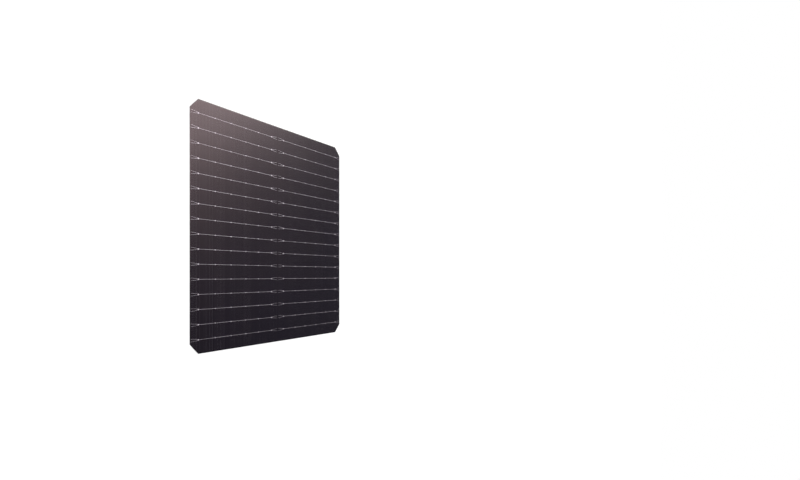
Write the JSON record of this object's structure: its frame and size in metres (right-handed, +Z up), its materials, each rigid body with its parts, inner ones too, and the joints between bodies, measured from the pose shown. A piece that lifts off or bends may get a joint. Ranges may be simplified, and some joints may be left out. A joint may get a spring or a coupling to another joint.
{
  "type": "solar cell",
  "caption": "Thin square silicon solar cell with rounded corners, printed on both faces with fine silver fingers and with busbars that carry solder pads and end in forks.",
  "frame": {"origin": "middle of the cell's footprint, on the plane that the rear busbars rest on", "axes": "+Z up out of the sunny side, +X along the busbars, +Y along the fingers and the cut line"},
  "size_m": [0.182, 0.182, 0.0002],
  "materials": {
    "silicon": "satin",
    "silver_paste": "matte"
  },
  "bodies": {
    "root": {"silicon_wafer": "silicon", "front_fingers_left": "silver_paste", "front_fingers_right": "silver_paste", "rear_fingers_left": "silver_paste", "rear_fingers_right": "silver_paste", "front_busbar_01": "silver_paste", "front_busbar_02": "silver_paste", "front_busbar_03": "silver_paste", "front_busbar_04": "silver_paste", "front_busbar_05": "silver_paste", "front_busbar_06": "silver_paste", "front_busbar_07": "silver_paste", "front_busbar_08": "silver_paste", "front_busbar_09": "silver_paste", "front_busbar_10": "silver_paste", "front_busbar_11": "silver_paste", "front_busbar_12": "silver_paste", "front_busbar_13": "silver_paste", "front_busbar_14": "silver_paste", "front_busbar_15": "silver_paste", "front_busbar_16": "silver_paste", "rear_busbar_01": "silver_paste", "rear_busbar_02": "silver_paste", "rear_busbar_03": "silver_paste", "rear_busbar_04": "silver_paste", "rear_busbar_05": "silver_paste", "rear_busbar_06": "silver_paste", "rear_busbar_07": "silver_paste", "rear_busbar_08": "silver_paste", "rear_busbar_09": "silver_paste", "rear_busbar_10": "silver_paste", "rear_busbar_11": "silver_paste", "rear_busbar_12": "silver_paste", "rear_busbar_13": "silver_paste", "rear_busbar_14": "silver_paste", "rear_busbar_15": "silver_paste", "rear_busbar_16": "silver_paste"}
  },
  "joints": []
}
